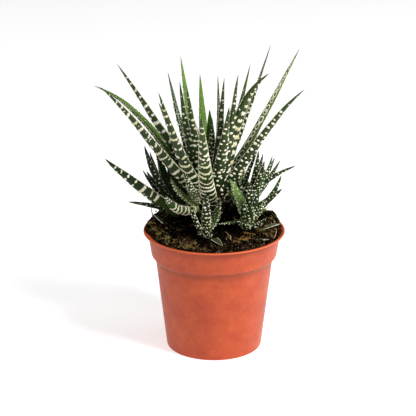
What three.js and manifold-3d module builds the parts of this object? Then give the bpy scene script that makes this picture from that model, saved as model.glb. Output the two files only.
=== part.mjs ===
// A zebra haworthia in its nursery pot, in millimetres, +Z up.
// The mother rosette of long banded leaves stands on a short stem, with a ring of offsets round it.
// They grow in a heap of peat that fills a thin plastic pot with a stepped band and a rolled lip.
// The origin is the middle of the pot's underside, on the surface that the pot stands on.
// The front of the plant faces -Y. Azimuths start there and turn towards +X.

import * as THREE from "three";
import { mergeVertices } from "three/addons/utils/BufferGeometryUtils.js";
import Module from "manifold-3d";

const wasm = await Module();
wasm.setup();

const CLEARANCE = 0.3; // between pieces that touch
const radians = THREE.MathUtils.degToRad;

// The pot: a thin injection-moulded shell, 90 mm across its lip and 78 mm tall
const POT = {
  sides: 40,
  height: 78,
  wall: 0.9,
  baseRadius: 30.5,
  baseBevel: 0.9,
  shoulderRadius: 37.4,
  shoulderZ: 59.2,
  bandFootRadius: 40,
  bandFootZ: 62.1,
  bandTopRadius: 42.1,
  lipRadius: 45,
  lipDepth: 1.1,
  lipRound: 0.5,
  lipInnerRadius: 44,
  flareDepth: 1.5,
  drainHoles: 6,
  drainRadius: 3,
  drainCircle: 19,
};

// The peat: a lumpy mound, below the lip at the front and right and heaped over it elsewhere.
// Its side follows the inside of the pot. riseBack lifts the back half and riseLeft the left.
const SOIL = {
  sectors: 32,
  rings: [38.8, 34.5, 29, 23.5, 18, 12.5, 7.5],
  rimDrop: 0.8,
  edgeZ: 78.3,
  mound: 3.2,
  riseBack: 3.4,
  steepness: 2.2,
  skew: 0.1,
  riseLeft: 0.7,
  lump: 0.6,
  heap: { x: 36, y: 18, rise: 3, spread: 10 },
};

// A leaf's build. Depths and corners are shares of its half width at that point.
const LEAF = {
  rootWidth: 0.78,
  backDepthRoot: 0.6,
  backDepthTip: 0.95,
  faceCrown: 0.14,
  backCorner: 0.56,
  backFlat: 0.86,
  pathSteps: 48,
};

// The white cross bands of the back are raised ridges
const BAND = {
  first: 0.12, // share of the leaf's length below the first band
  last: 0.94,
  rise: 0.6, // mm
  reach: 0.9, // mm to each side along the leaf
};

// The mother plant. A leaf has its azimuth, the height of its root on the stem, its lean from
// upright at the root, middle and tip, its length, its width, its fullness (the lower it is, the
// sooner the leaf narrows) and how far it is rolled about its own line.
const leaf = (azimuth, root, lean, length, width, fullness, roll = 0) =>
  ({ azimuth, root, lean, length, width, fullness, roll });

const MOTHER = {
  name: "mother_rosette",
  foot: [-2.5, 4, 80],
  sunk: 9,
  stem: [[5, -9], [5, 2], [6.4, 11], [5, 17], [2.5, 26]],
  shoulder: 0.1,
  bandSpacing: 15,
  corners: 5,
  leaves: [
    // old outer leaves at the back
    leaf(182, 13, [62, 54, 50], 64, 10.5, 1.6),
    leaf(140, 13, [66, 52, 46], 60, 10, 1.6),
    leaf(226, 13, [66, 54, 46], 60, 10, 1.6),
    // outer ring
    leaf(354, 14, [56, 34, 26], 90, 10.5, 1.6),
    leaf(287, 15, [50, 37, 48], 107.5, 11, 1.3, 30),
    leaf(262, 15, [46, 38, 74], 105.8, 10.5, 1.4, -10),
    leaf(78, 15, [44, 33, 50], 97.8, 10, 1.5, -35),
    leaf(98, 17, [37, 29, 29], 111, 10, 1.4, -38),
    leaf(226, 17, [54, 38, 36], 72, 10, 1.3),
    // middle ring
    leaf(318, 18, [49, 28, 24], 91.5, 11.5, 1.35),
    leaf(61, 18, [34, 16, 56], 97, 11.5, 1.6, -28),
    leaf(42, 18, [41, 11, 15], 90, 9, 1.35),
    leaf(104, 19, [28, 21, 20], 104, 9.5, 1.15, -15),
    leaf(145, 19, [43, 29, 23], 89.5, 8, 1),
    leaf(191, 19, [41, 24, 19], 79.5, 9, 1.25),
    leaf(272, 20, [40, 32, 36], 103.1, 10.5, 1.35, 35),
    leaf(213, 20, [37, 21, 15], 90.5, 9.5, 1.05),
    leaf(255, 20, [33, 17, 15], 83.5, 9.5, 1.3),
    leaf(306, 20, [34, 14, 10], 81.5, 10, 1.4),
    leaf(75, 21, [32, 14, 12], 75.5, 8, 1.2),
    leaf(325, 21, [29, 17, 13], 80.4, 8, 1.5),
    // inner leaves
    leaf(22, 21, [43, 23, 17], 71.9, 9, 1.6),
    leaf(35, 22, [24, 8, 10], 79, 8, 1.3),
    leaf(98, 22, [13, 2, 0], 76, 9, 1.3),
    leaf(165, 20, [9, -3, -7], 56.6, 9, 1.8),
    leaf(205, 20, [42, 30, 26], 58.5, 9, 1.8),
    leaf(238, 19, [37, 23, 17], 59, 9, 1.8),
    leaf(120, 20, [26, 14, 10], 56.7, 9, 1.8),
    leaf(10, 23, [20, 6, 2], 50, 7, 1.6),
    leaf(335, 22, [30, 14, 8], 54, 7.5, 1.6),
    leaf(48, 22, [34, 16, 10], 60, 7.5, 1.6),
    leaf(290, 22, [30, 16, 10], 60, 7.5, 1.6),
  ],
  // a young rosette that sprouts from the side of the stem on a stalk, with rows as an offset has
  sprout: {
    at: [-7.8, -11, 14],
    stalk: leaf(325, 6, [72, 60, 46], 18.5, 9, 1.8),
    rows: [
      [292, [97, 63, 18], 26.7, 9, 45],
      [262, [56, 46, 13], 26.3, 6.5, -10],
      [300, [20, 24, 22], 26.7, 7, 15],
      [10, [15, 10, 14], 21.7, 4.5],
    ],
  },
};

// The offsets. Their rows hold azimuth, lean, length, width and perhaps roll, from the outermost leaf
// inwards. A single lean is that of the leaf's middle. The roots climb the stem in the same order.
const OFFSETS = [
  {
    name: "offset_left",
    foot: [-23, 9],
    lift: 2.2,
    rows: [
      [290, [48, 49, 48], 64.2, 11, 35],
      [281, [58, 74, 84], 34.6, 7, 30],
      [240, [50, 44, 40], 34, 8],
      [205, 50, 36, 8],
      [165, 50, 22, 7],
      [275, [48, 38, 32], 36.1, 7, 20],
      [285, [34, 26, 16], 49.9, 9.5, 20],
      [268, [30, 25, 18], 42.5, 9, 10],
      [232, [34, 24, 16], 44, 8.5],
      [205, 20, 38, 8.5],
      [180, 10, 26, 7.5],
    ],
  },
  {
    name: "offset_front",
    foot: [-5, -18],
    lift: 1.7,
    rows: [
      [30, 62, 7, 5],
      [300, 60, 8, 5],
      [345, 50, 8, 5],
      [300, [58, 22, 15], 24.3, 6],
      [130, [60, 28, 22], 22.6, 7],
      [180, 18, 16, 6],
      [0, [21, 11, 1], 25.3, 6],
    ],
  },
  {
    name: "offset_right_front",
    foot: [21, -4],
    lift: 2,
    rows: [
      [350, 62, 13, 7],
      [60, 60, 16, 7.5],
      [310, 58, 13, 7],
      [105, [46, 40, 32], 17, 7],
      [75, [42, 32, 26], 22.1, 7],
      [340, 26, 20, 7],
      [10, 36, 20, 7.5],
      [268, [14, 22, 31], 31.3, 8, -50],
      [50, [29, 19, 13], 26.5, 7.5],
      [170, 8, 17, 7],
      [15, 12, 28, 6.5],
      [282, [101, 95, 87], 21.1, 3.6],
    ],
  },
  {
    name: "offset_right_back",
    foot: [19, 13],
    lift: 1.7,
    rows: [
      [85, [58, 54, 50], 30.6, 8.5, -35],
      [95, [80, 40, 22], 36.6, 9, -30],
      [150, 56, 30, 8],
      [10, [40, 30, 24], 30, 8],
      [92, [10, 50, 74], 48, 8.5, -25],
      [115, [45, 40, 35], 41, 6],
      [50, [36, 28, 22], 36.4, 7.5],
      [100, [36, 30, 24], 40.4, 6.5],
      [75, [34, 26, 18], 42.5, 7],
      [330, 15, 26, 6.5],
      [112, [27, 20, 15], 38.2, 6.5],
      [60, [22, 14, 8], 41.9, 8],
      [78, [-14, 16, 24], 40.6, 6.5, -20],
      [45, [40, 26, 16], 39.9, 7.5],
      [350, [16, 10, 4], 20.6, 8],
    ],
  },
  {
    name: "offset_back",
    foot: [9, 31],
    lift: 1,
    rows: [
      [157, 60, 27, 8],
      [108, 58, 22, 7.5],
      [206, 56, 20, 7.5],
      [60, 44, 14, 6.5],
      [250, 40, 12, 6.5],
      [135, 38, 28, 7.5],
      [178, 30, 24, 7.5],
      [150, 12, 20, 6.5],
    ],
  },
  {
    name: "offset_back_left",
    foot: [-15, 27],
    lift: 1,
    rows: [
      [208, 60, 26, 8],
      [165, 56, 19, 7.5],
      [250, 56, 19, 7],
      [30, 40, 11, 6.5],
      [300, 44, 12, 6.5],
      [228, 36, 26, 7.5],
      [188, 32, 24, 7.5],
      [205, 12, 20, 6.5],
    ],
  },
];
const OFFSET = {
  sunk: 7,
  stem: [[2.6, -7], [2.6, 2], [1.5, 6]],
  shoulder: 0.3,
  fullness: 2.1,
  bandSpacing: 9,
  corners: 4,
  stemTop: 5,
};

// A withered leaf that has dropped on the peat
const FALLEN_LEAF = { x: -0.4, y: -22.3, heading: 34.5, length: 10, width: 5, thickness: 1.2, gap: 0.7 };

// A closed geometry with shared corners as a solid
function toSolid(geometry) {
  const bare = geometry.clone();
  bare.deleteAttribute("normal");
  bare.deleteAttribute("uv");
  const merged = mergeVertices(bare, 1e-4);
  return solidOf(merged.attributes.position.array, merged.index.array);
}

function solidOf(positions, corners) {
  const mesh = new wasm.Mesh({
    numProp: 3,
    vertProperties: Float32Array.from(positions),
    triVerts: Uint32Array.from(corners),
  });
  mesh.merge();
  return new wasm.Manifold(mesh);
}

function toGeometry(solid) {
  const mesh = solid.getMesh();
  const positions = new Float32Array(mesh.numVert * 3);
  for (let i = 0; i < mesh.numVert; i++) {
    const start = i * mesh.numProp;
    positions.set(mesh.vertProperties.subarray(start, start + 3), i * 3);
  }
  const geometry = new THREE.BufferGeometry();
  geometry.setAttribute("position", new THREE.BufferAttribute(positions, 3));
  geometry.setIndex(new THREE.BufferAttribute(mesh.triVerts, 1));
  geometry.computeVertexNormals();
  return geometry;
}

// A profile of [radius, z] points turned round the Z axis
function turned(profile, sides) {
  const points = profile.map(([radius, z]) => new THREE.Vector2(radius, z));
  return new THREE.LatheGeometry(points, sides).rotateX(Math.PI / 2);
}

// Pot

function potProfile() {
  const p = POT;
  return [
    [0, 0],
    [p.baseRadius - p.baseBevel, 0],
    [p.baseRadius, p.baseBevel],
    [p.shoulderRadius, p.shoulderZ],
    [p.bandFootRadius, p.bandFootZ],
    [p.bandTopRadius, p.height - p.flareDepth - p.lipRound],
    [p.lipRadius - p.lipRound, p.height - p.lipDepth],
    [p.lipRadius, p.height - p.lipDepth / 2],
    [p.lipRadius - p.lipRound, p.height],
    [p.lipInnerRadius, p.height],
    [p.bandTopRadius - p.wall, p.height - p.flareDepth],
    [p.bandFootRadius - p.wall, p.bandFootZ],
    [p.shoulderRadius - p.wall, p.shoulderZ],
    [p.baseRadius - p.wall, p.wall + p.baseBevel],
    [p.baseRadius - p.wall - p.baseBevel, p.wall],
    [0, p.wall],
  ];
}

function makePot() {
  const { drainHoles, drainRadius, drainCircle } = POT;
  let pot = toSolid(turned(potProfile(), POT.sides));
  for (let i = 0; i < drainHoles; i++) {
    const angle = ((i + 0.5) * 2 * Math.PI) / drainHoles;
    const drill = new THREE.CylinderGeometry(drainRadius, drainRadius, 6, 10)
      .rotateX(Math.PI / 2)
      .translate(drainCircle * Math.cos(angle), drainCircle * Math.sin(angle), 0);
    pot = pot.subtract(toSolid(drill));
  }
  return pot;
}

// Peat

function soilHeight(x, y) {
  const { rings, edgeZ, mound, riseBack, steepness, skew, riseLeft, lump, heap } = SOIL;
  const [across, back] = [x / rings[0], y / rings[0]];
  const out = Math.min(1, Math.hypot(across, back));
  const slope = riseBack * Math.tanh(steepness * (back - skew * across)) - riseLeft * across;
  const lumps = Math.sin(0.31 * x + 1.1) * Math.cos(0.27 * y - 0.4)
    + 0.6 * Math.sin(0.53 * y + 0.22 * x) * Math.cos(0.47 * x - 0.9);
  const fromHeap = Math.hypot(x - heap.x, y - heap.y) / heap.spread;
  const heaped = heap.rise * Math.exp(-fromHeap * fromHeap);
  return edgeZ + slope + mound * (1 - out ** 2.4) + lump * lumps + heaped;
}

// Radius of the pot's inside at a height
function potInside(z) {
  const p = POT;
  const wall = [
    [p.wall + p.baseBevel, p.baseRadius - p.wall],
    [p.shoulderZ, p.shoulderRadius - p.wall],
    [p.bandFootZ, p.bandFootRadius - p.wall],
    [p.height - p.flareDepth, p.bandTopRadius - p.wall],
    [p.height, p.lipInnerRadius],
  ];
  const above = Math.max(1, wall.findIndex(([level]) => level >= z));
  const [[lowZ, low], [highZ, high]] = [wall[above - 1], wall[above]];
  return low + ((high - low) * (z - lowZ)) / (highZ - lowZ);
}

function makeSoil(stems) {
  const { sectors, rings, rimDrop } = SOIL;
  const floorZ = POT.wall + CLEARANCE;
  const flatOfFacet = Math.cos(Math.PI / POT.sides);
  const fitted = (z) => (potInside(z) - CLEARANCE) * flatOfFacet;
  const sectionAt = (angle) => {
    const [cos, sin] = [Math.cos(angle), Math.sin(angle)];
    const top = rings.map((radius) => [radius, soilHeight(radius * cos, radius * sin)]);
    const edge = top[0][1];
    const rim = Math.min(edge - rimDrop, POT.height);
    const neck = Math.min(POT.height - POT.flareDepth, rim - CLEARANCE);
    const wall = [floorZ + POT.baseBevel, POT.shoulderZ, POT.bandFootZ + CLEARANCE, neck, rim];
    return [
      [fitted(wall[0]) - POT.baseBevel, floorZ],
      ...wall.map((z) => [fitted(z), z]),
      [fitted(rim) - rimDrop, edge],
      ...top,
    ];
  };
  const positions = [0, 0, floorZ];
  for (let k = 0; k < sectors; k++) {
    const angle = (2 * Math.PI * k) / sectors;
    sectionAt(angle).forEach(([radius, z]) => {
      positions.push(radius * Math.cos(angle), radius * Math.sin(angle), z);
    });
  }
  positions.push(0, 0, soilHeight(0, 0));
  const ringCount = sectionAt(0).length;
  const corners = [];
  const at = (ring, k) => 1 + ring + (k % sectors) * ringCount;
  const top = 1 + ringCount * sectors;
  for (let k = 0; k < sectors; k++) {
    corners.push(0, at(0, k + 1), at(0, k));
    for (let ring = 0; ring + 1 < ringCount; ring++) {
      corners.push(at(ring, k), at(ring, k + 1), at(ring + 1, k + 1));
      corners.push(at(ring, k), at(ring + 1, k + 1), at(ring + 1, k));
    }
    corners.push(at(ringCount - 1, k), at(ringCount - 1, k + 1), top);
  }
  return stems.reduce((soil, stem) => soil.subtract(stem), solidOf(positions, corners));
}

// Leaves

// The point, the direction and the two cross directions at each share t of a leaf's length
function leafFrames({ azimuth, root, lean, length, roll }, shares) {
  const [low, middle, high] = lean.map(radians);
  const leanAt = (t) => low + (4 * middle - 3 * low - high) * t + (2 * low - 4 * middle + 2 * high) * t * t;
  const turn = radians(azimuth);
  const alongAt = (t) => new THREE.Vector3(
    Math.sin(leanAt(t)) * Math.sin(turn),
    -Math.sin(leanAt(t)) * Math.cos(turn),
    Math.cos(leanAt(t)),
  );
  const steps = LEAF.pathSteps;
  const path = [new THREE.Vector3(0, 0, root)];
  for (let i = 0; i < steps; i++) {
    const stride = alongAt((i + 0.5) / steps).multiplyScalar(length / steps);
    path.push(path[i].clone().add(stride));
  }
  return shares.map((t) => {
    const i = Math.min(steps - 1, Math.floor(t * steps));
    const along = alongAt(t);
    const across = new THREE.Vector3(Math.cos(turn), Math.sin(turn), 0);
    const inward = new THREE.Vector3().crossVectors(along, across);
    return {
      point: path[i].clone().lerp(path[i + 1], t * steps - i),
      across: across.applyAxisAngle(along, radians(roll)),
      inward: inward.applyAxisAngle(along, radians(roll)),
    };
  });
}

function halfWidth({ width, fullness }, { shoulder }, t) {
  const swell = Math.min(1, LEAF.rootWidth + ((1 - LEAF.rootWidth) * t) / shoulder);
  return (width / 2) * swell * (1 - t ** fullness) ** 0.8;
}

// Corners of a leaf's section, as [across, inward], with its back and edges raised on a band
function leafSection(half, t, raised, corners) {
  const rise = raised * Math.min(BAND.rise, 0.3 * half);
  const edge = half + rise;
  const back = -half * THREE.MathUtils.lerp(LEAF.backDepthRoot, LEAF.backDepthTip, t) - rise;
  const crown = LEAF.faceCrown * half;
  const corner = LEAF.backCorner * edge;
  const keel = corners === 5
    ? [[-corner, LEAF.backFlat * back], [corner, LEAF.backFlat * back]]
    : [[0, back]];
  return [[-edge, 0], ...keel, [edge, 0], [0, crown]];
}

// Shares of a leaf's length where its section is set, each with how far it is raised
function leafStations({ length }, { bandSpacing }) {
  const stations = [{ t: 0, raised: 0 }];
  const bands = Math.round(((BAND.last - BAND.first) * length) / bandSpacing);
  for (let i = 0; i < bands; i++) {
    const t = BAND.first + ((BAND.last - BAND.first) * (i + 0.5)) / bands;
    const reach = (BAND.reach * (1.2 - 0.6 * t)) / length;
    stations.push({ t: t - reach, raised: 0 }, { t, raised: 1 }, { t: t + reach, raised: 0 });
  }
  return stations;
}

function makeLeaf(leafRow, build) {
  const { corners } = build;
  const stations = leafStations(leafRow, build);
  const frames = leafFrames(leafRow, [...stations.map(({ t }) => t), 1]);
  const positions = [];
  const add = ({ point, across, inward }, [side, up]) => {
    const p = point.clone().addScaledVector(across, side).addScaledVector(inward, up);
    positions.push(p.x, p.y, p.z);
  };
  stations.forEach(({ t, raised }, i) => {
    const section = leafSection(halfWidth(leafRow, build, t), t, raised, corners);
    section.forEach((corner) => add(frames[i], corner));
  });
  add(frames.at(-1), [0, 0]);
  const lastRing = (stations.length - 1) * corners;
  const apex = lastRing + corners;
  const faces = [];
  for (let k = 0; k < corners; k++) {
    const next = (k + 1) % corners;
    if (k > 0 && next > 0) faces.push(0, next, k);
    for (let low = 0; low < lastRing; low += corners) {
      const high = low + corners;
      faces.push(low + k, low + next, high + next, low + k, high + next, high + k);
    }
    faces.push(lastRing + k, lastRing + next, apex);
  }
  return solidOf(positions, faces);
}

// A rosette's leaves joined on its stem, with those of its sprout
function makeRosette(rosette) {
  const { stem, leaves, sprout, foot } = rosette;
  let body = toSolid(turned([[0, stem[0][1]], ...stem, [0, stem.at(-1)[1]]], 8));
  leaves.forEach((row) => {
    body = body.add(makeLeaf(row, rosette));
  });
  if (sprout) {
    body = body.add(makeLeaf(sprout.stalk, rosette));
    offsetLeaves(sprout.rows, 0).forEach((row) => {
      body = body.add(makeLeaf(row, OFFSET).translate(sprout.at));
    });
  }
  return withoutPockets(body).translate(foot);
}

// Fills the pockets that leaves close in between them
function withoutPockets(body) {
  return wasm.Manifold.compose(body.decompose().filter((shell) => shell.volume() > 0));
}

// The hole that a rosette's stem stands in
function stemHole({ stem, sunk, foot }) {
  const radius = stem[0][0] + CLEARANCE;
  const depth = -sunk - CLEARANCE;
  return toSolid(turned([[0, depth], [radius, depth], [radius, 12], [0, 12]], 8)).translate(foot);
}

function offsetLeaves(rows, lift) {
  return rows.map(([azimuth, lean, length, width, roll], i) => {
    const bend = Array.isArray(lean) ? lean : [lean + 12, lean, 0.7 * lean];
    const root = lift + (OFFSET.stemTop * i) / (rows.length - 1);
    return leaf(azimuth, root, bend, length, width, OFFSET.fullness, roll);
  });
}

function offsetRosette({ name, foot: [x, y], lift, rows }) {
  const stem = OFFSET.stem.map(([radius, z]) => [radius, z > 0 ? z + lift : z]);
  return { ...OFFSET, name, foot: [x, y, soilHeight(x, y)], stem, leaves: offsetLeaves(rows, lift) };
}

// A thin pointed leaf lying on the peat, with its ends at the height of the ground there
function makeFallenLeaf() {
  const { x, y, heading, length, width, thickness, gap } = FALLEN_LEAF;
  const outline = new THREE.Shape();
  outline.moveTo(0, -width / 2);
  outline.quadraticCurveTo(0.7 * length, -width / 2, length, 0);
  outline.quadraticCurveTo(0.7 * length, width / 2, 0, width / 2);
  outline.closePath();
  const extrusion = { depth: thickness, bevelEnabled: false, curveSegments: 5 };
  const blade = new THREE.ExtrudeGeometry(outline, extrusion);
  const turn = radians(heading - 90);
  const [endX, endY] = [x + length * Math.cos(turn), y + length * Math.sin(turn)];
  const pitch = Math.asin((soilHeight(endX, endY) - soilHeight(x, y)) / length);
  blade.rotateY(-pitch).rotateZ(turn).translate(x, y, soilHeight(x, y) + gap);
  return toSolid(blade);
}

// Assembly

const MATERIALS = {
  plastic: new THREE.MeshStandardMaterial({ color: "#c8573a", roughness: 0.45, metalness: 0 }),
  peat: new THREE.MeshStandardMaterial({ color: "#241d16", roughness: 1, metalness: 0 }),
  leaf: new THREE.MeshStandardMaterial({ color: "#2f4429", roughness: 0.5, metalness: 0 }),
  youngLeaf: new THREE.MeshStandardMaterial({ color: "#3f6431", roughness: 0.5, metalness: 0 }),
  witheredLeaf: new THREE.MeshStandardMaterial({ color: "#6f7f55", roughness: 0.7, metalness: 0 }),
};

function namedMesh(name, solid, material) {
  const mesh = new THREE.Mesh(toGeometry(solid), material);
  mesh.name = name;
  return mesh;
}

const offsets = OFFSETS.map(offsetRosette);
const plant = new THREE.Group();
plant.add(namedMesh("pot", makePot(), MATERIALS.plastic));
plant.add(namedMesh("soil", makeSoil([MOTHER, ...offsets].map(stemHole)), MATERIALS.peat));
plant.add(namedMesh(MOTHER.name, makeRosette(MOTHER), MATERIALS.leaf));
offsets.forEach((offset) => {
  plant.add(namedMesh(offset.name, makeRosette(offset), MATERIALS.youngLeaf));
});
plant.add(namedMesh("fallen_leaf", makeFallenLeaf(), MATERIALS.witheredLeaf));

export default plant;
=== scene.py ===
# A zebra haworthia in its nursery pot: stiff pointed leaves crossed by raised white bands.
# A mother rosette stands over a ring of young offsets in a heap of peat, with moss and dry bits.
# Sizes are in millimetres in the part's own frame. The pot stands on z = 0 and the plant faces -Y.

import itertools
import math

import bpy
import numpy as np
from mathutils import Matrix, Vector, noise


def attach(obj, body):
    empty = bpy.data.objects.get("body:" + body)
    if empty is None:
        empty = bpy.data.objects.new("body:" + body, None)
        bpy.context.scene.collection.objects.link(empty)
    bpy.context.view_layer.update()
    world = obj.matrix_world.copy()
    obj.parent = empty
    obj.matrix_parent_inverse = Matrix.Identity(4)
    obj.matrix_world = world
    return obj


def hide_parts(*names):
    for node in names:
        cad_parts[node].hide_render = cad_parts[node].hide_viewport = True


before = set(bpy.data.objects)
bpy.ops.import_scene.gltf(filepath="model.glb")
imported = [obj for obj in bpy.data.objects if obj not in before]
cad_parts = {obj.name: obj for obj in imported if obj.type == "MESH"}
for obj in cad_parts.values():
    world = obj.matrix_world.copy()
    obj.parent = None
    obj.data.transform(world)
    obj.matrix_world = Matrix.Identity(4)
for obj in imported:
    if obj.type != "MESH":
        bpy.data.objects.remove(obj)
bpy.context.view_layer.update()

# Nursery pot
# A thin shell of polypropylene, injection moulded in one piece: a tapered body, a chamfer up to a
# wider band, and a rolled lip. Six drain holes are punched through its floor.

METRES_PER_MM = 0.001
POT_HEIGHT = 78
FLARE_FOOT = 76.5
# Corners of the shell as radius, height and rounding: up its outside, then down its inside
POT_OUTSIDE = [
    (0, 0, 0),
    (30.5, 0, 0.9),
    (37.4, 59.2, 0.5),
    (40, 62.1, 0.5),
    (42.1, 76, 0.3),
    (45, 76.9, 0.45),
    (45, POT_HEIGHT, 0.5),
]
POT_INSIDE = [
    (44, POT_HEIGHT, 0.3),
    (41.2, FLARE_FOOT, 0.4),
    (39.1, 62.1, 0.5),
    (36.5, 59.2, 0.5),
    (29.5, 0.9, 0.8),
    (0, 0.9, 0),
]
CORNER_STEPS = 5
POT_SECTORS = 160
DRAIN_HOLES = 6
DRAIN_RADIUS = 3
DRAIN_CIRCLE = 19
# A punch for the holes, as radius and height
DRILL = [(0, -2), (DRAIN_RADIUS, -2), (DRAIN_RADIUS, 4), (0, 4)]
# Painted shade under the band and under the lip: heights where it begins, is full and ends
PAINTED_SHADE = [(55.5, 59.5, 61.9), (71, 76.4, 76.6)]
# Heights where the painted highlight along the top of the lip begins, and where it is full
PAINTED_LIP_HIGHLIGHT = (76.8, 77.2)
# Sizes of the marks where the melt flowed, of the spots of lime and of the mould's grain, which is
# drawn coarser than it is so that it shows
FLOW_SIZE = 12.5
BLOOM_SIZE = 4.76
GRAIN_SIZE = 0.625
# The sockets of a colour mix: its share, the colour under, the colour over and the result
SHARE, UNDER, OVER, MIXED = 0, 6, 7, 2


def rounded(corners):
    """A profile with each corner replaced by a short curve of its rounding."""
    places = [np.array(corner[:2], float) for corner in corners]
    profile = [places[0]]
    for before, here, after, (_, _, rounding) in zip(places, places[1:], places[2:], corners[1:]):
        start = here + (before - here) / np.linalg.norm(before - here) * rounding
        end = here + (after - here) / np.linalg.norm(after - here) * rounding
        for share in np.linspace(0, 1, CORNER_STEPS):
            profile.append((1 - share) ** 2 * start + 2 * share * (1 - share) * here + share**2 * end)
    return [*profile, places[-1]]


def ring_quads(rows, per_row, closed=True):
    """Quads between rows of points that each go once round."""
    steps = per_row if closed else per_row - 1
    row, k = np.meshgrid(np.arange(rows - 1), np.arange(steps), indexing="ij")
    here, ahead = (row * per_row + k).ravel(), (row * per_row + (k + 1) % per_row).ravel()
    return np.stack([here, ahead, ahead + per_row, here + per_row], axis=1)


def capped(rings, first, last):
    """Rings of points joined by quads, with a fan to a middle point at each end."""
    rings = np.array(rings, float)
    count, sectors = rings.shape[:2]
    k = np.arange(sectors)
    ahead = (k + 1) % sectors
    end = (count - 1) * sectors
    middle = np.full(sectors, count * sectors)
    return {
        "points": np.vstack([rings.reshape(-1, 3), first, last]),
        "faces": [
            ring_quads(count, sectors),
            np.stack([middle, ahead, k], axis=1),
            np.stack([end + k, end + ahead, middle + 1], axis=1),
        ],
    }


def turned(profile, sectors):
    """A profile of radius and height turned round the Z axis, closed at both of its ends."""
    angles = np.linspace(0, 2 * np.pi, sectors, endpoint=False)
    rings = [[(r * math.cos(a), r * math.sin(a), z) for a in angles] for r, z in profile[1:-1]]
    return capped(rings, (0, 0, profile[0][1]), (0, 0, profile[-1][1]))


def add_mesh(name, parts, material):
    """One object from parts, each with points in mm, arrays of faces and perhaps values for each point."""
    points = np.vstack([part["points"] for part in parts])
    faces, start = [], 0
    for part in parts:
        for corners in part["faces"]:
            faces.extend((corners + start).tolist())
        start += len(part["points"])
    mesh = bpy.data.meshes.new(name)
    mesh.from_pydata((points * METRES_PER_MM).tolist(), [], faces)
    mesh.shade_smooth()
    for value in parts[0].get("values", {}):
        numbers = np.concatenate([part["values"][value] for part in parts]).astype(np.float32)
        mesh.attributes.new(value, "FLOAT", "POINT").data.foreach_set("value", numbers)
    mesh.materials.append(material)
    piece = bpy.data.objects.new(name, mesh)
    bpy.context.scene.collection.objects.link(piece)
    return piece


def linear(hex_colour):
    """The linear colour of an sRGB hex value."""
    channels = [int(hex_colour[i : i + 2], 16) / 255 for i in (1, 3, 5)]
    return (*[c / 12.92 if c <= 0.04045 else ((c + 0.055) / 1.055) ** 2.4 for c in channels], 1)


def set_sockets(node, sockets):
    """Each socket takes a number, a hex colour, or a link from another node's output."""
    for socket, value in sockets.items():
        if isinstance(value, bpy.types.NodeSocket):
            node.id_data.links.new(value, node.inputs[socket])
        else:
            node.inputs[socket].default_value = linear(value) if isinstance(value, str) else value


def add_node(shader, kind, sockets, output=0, **settings):
    """An output of a new node beside the shader, with the node's settings and links."""
    made = shader.id_data.nodes.new("ShaderNode" + kind)
    for setting, value in settings.items():
        setattr(made, setting, value)
    set_sockets(made, sockets)
    return made.outputs[output]


def new_material(name, sockets):
    """A material, its shader with values on its sockets, and the place in mm for its patterns."""
    material = bpy.data.materials.new(name)
    material.use_nodes = True
    shader = material.node_tree.nodes["Principled BSDF"]
    set_sockets(shader, sockets)
    metres = add_node(shader, "TexCoord", {}, "Object")
    place = add_node(shader, "VectorMath", {0: metres, "Scale": 1 / METRES_PER_MM}, operation="SCALE")
    return material, shader, place


def finish(shader, colour, layers, relief=None):
    """Lays colours over the first by their shares, and adds a relief of a strength and a depth in mm."""
    for share, over in layers:
        colour = add_node(shader, "Mix", {SHARE: share, UNDER: colour, OVER: over}, MIXED, data_type="RGBA")
    set_sockets(shader, {"Base Color": colour})
    if relief:
        height, strength, depth = relief
        raised = {"Height": height, "Strength": strength, "Distance": depth * METRES_PER_MM}
        set_sockets(shader, {"Normal": add_node(shader, "Bump", raised)})


# Polypropylene, moulded and dyed terracotta all through: an even satin, a little mottled where the
# melt flowed, with a fine grain from the mould and a dull bloom of lime and dust in places
pot_plastic, shader, place = new_material(
    "terracotta polypropylene, moulded satin", {"IOR": 1.49, "Sheen Weight": 0.05, "Sheen Roughness": 0.4}
)
flow = add_node(shader, "TexNoise", {"Vector": place, "Scale": 1 / FLOW_SIZE, "Detail": 6, "Roughness": 0.7})
flow_share = add_node(shader, "MapRange", {"Value": flow, "From Min": 0.3, "From Max": 0.7})
bloom = add_node(
    shader, "TexNoise", {"Vector": place, "Scale": 1 / BLOOM_SIZE, "Detail": 6, "Roughness": 0.75}
)
bloom_share = add_node(
    shader, "MapRange", {"Value": bloom, "From Min": 0.56, "From Max": 0.8, "To Max": 0.28}
)
layers = [(flow_share, "#c0572a"), (bloom_share, "#d99a80")]
height = add_node(shader, "SeparateXYZ", {0: place}, "Z")
# Painted shade: the plastic is darkened below the band and below the lip, where their shadows fall
for begin, full, end in PAINTED_SHADE:
    reach = add_node(
        shader, "MapRange", {"Value": height, "From Min": begin, "From Max": full, "To Max": 0.62}
    )
    below = add_node(shader, "Math", {0: height, 1: end}, operation="LESS_THAN")
    layers.append((add_node(shader, "Math", {0: reach, 1: below}, operation="MULTIPLY"), "#86381a"))
# Painted highlight: the top of the lip is lightened where it catches the light from above
begin, full = PAINTED_LIP_HIGHLIGHT
lip_highlight = add_node(shader, "MapRange", {"Value": height, "From Min": begin, "From Max": full, "To Max": 0.75})
layers.append((lip_highlight, "#dd6a3c"))
grain = add_node(shader, "TexNoise", {"Vector": place, "Scale": 1 / GRAIN_SIZE})
finish(shader, "#a63f1f", layers, (grain, 0.12, 0.2))
dullness = {"Value": bloom, "From Min": 0.3, "From Max": 0.75, "To Min": 0.4, "To Max": 0.6}
set_sockets(shader, {"Roughness": add_node(shader, "MapRange", dullness)})

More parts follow.
